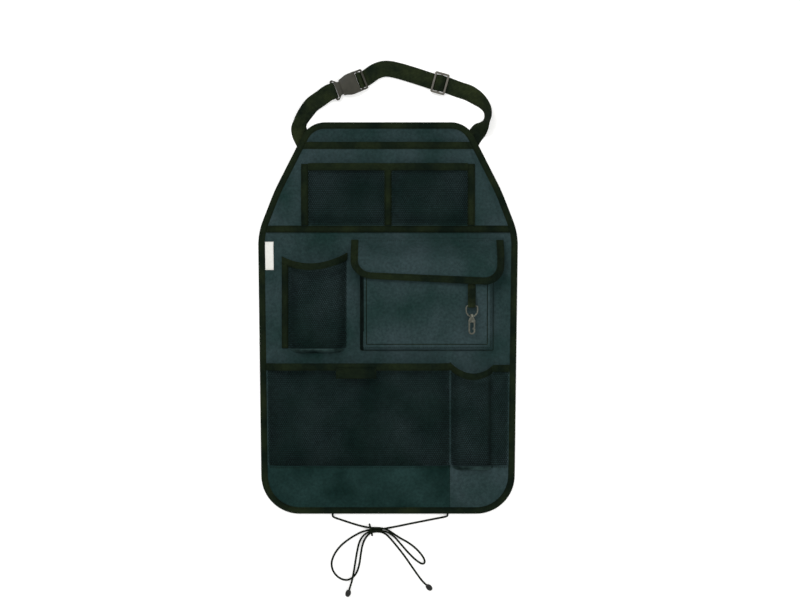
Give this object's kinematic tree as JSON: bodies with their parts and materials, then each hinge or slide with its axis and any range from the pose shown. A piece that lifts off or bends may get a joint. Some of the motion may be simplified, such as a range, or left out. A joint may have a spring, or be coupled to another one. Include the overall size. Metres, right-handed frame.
{
  "type": "car seat organizer",
  "caption": "Flat hanging fabric organizer with net and flap pockets, a buckled headrest strap, a key hook and tie cords, lying on its back.",
  "frame": {"origin": "middle of the panel's back face, on the surface it lies on", "axes": "+X to the right seen from the front, +Y from the tie cords to the strap, +Z out of the front"},
  "size_m": [0.4044, 0.8357, 0.0262],
  "materials": {
    "fabric": "dark slate woven polyester",
    "net": "black-green knitted mesh",
    "binding": "matte folded binding tape",
    "webbing": "ribbed woven webbing",
    "plastic": "satin moulded acetal",
    "metal": "dark gunmetal plating",
    "label": "plain white satin label",
    "cord": "braided polyester cord",
    "fastener": "hook and loop tape"
  },
  "bodies": {
    "organizer": {"back_panel": "fabric", "bottle_net": "net", "bottle_net_base": "fabric", "bottle_net_hem": "binding", "bottle_net_tape": "binding", "bow_knot": "cord", "buckle_plug": "plastic", "buckle_socket": "plastic", "card_net": "net", "card_net_hem": "binding", "card_tape_divider": "binding", "card_tape_left": "binding", "card_tape_right": "binding", "closure_tab": "binding", "cord_tip_left": "plastic", "cord_tip_right": "plastic", "corner_net": "net", "corner_net_base": "fabric", "corner_net_hem": "binding", "cross_tape": "binding", "edge_binding": "binding", "fastener_hook_strip": "fastener", "fastener_loop_strip": "fastener", "flap": "fabric", "flap_binding": "binding", "flap_pocket_front": "fabric", "key_strap": "webbing", "lower_band": "fabric", "lower_net": "net", "lower_net_hem": "binding", "map_pocket_front": "fabric", "map_pocket_hem": "binding", "side_label": "label", "slide_adjuster": "plastic", "strap_left": "webbing", "strap_long": "webbing", "tie_cord_left": "cord", "tie_cord_right": "cord"},
    "key_eye": {"hook_eye": "metal"},
    "snap_hook": {"hook_body": "metal", "hook_gate_pin": "metal"},
    "gate": {"hook_gate": "metal"}
  },
  "joints": [
    {"name": "eye_swing", "type": "hinge", "parent": "organizer", "child": "key_eye", "pos_m": [0.13, 0.019, 0.02173], "axis": [-1, 0, 0], "range_deg": [0, 95]},
    {"name": "hook_swivel", "type": "hinge", "parent": "key_eye", "child": "snap_hook", "pos_m": [0.13, 0.001, 0.02173], "axis": [0, 1, 0], "continuous": true},
    {"name": "gate_pivot", "type": "hinge", "parent": "snap_hook", "child": "gate", "pos_m": [0.1333, -0.0045, 0.02173], "axis": [0, 0, -1], "range_deg": [0, 17], "stiffness_Nm_per_rad": 0.004, "springref_deg": -28.65}
  ]
}
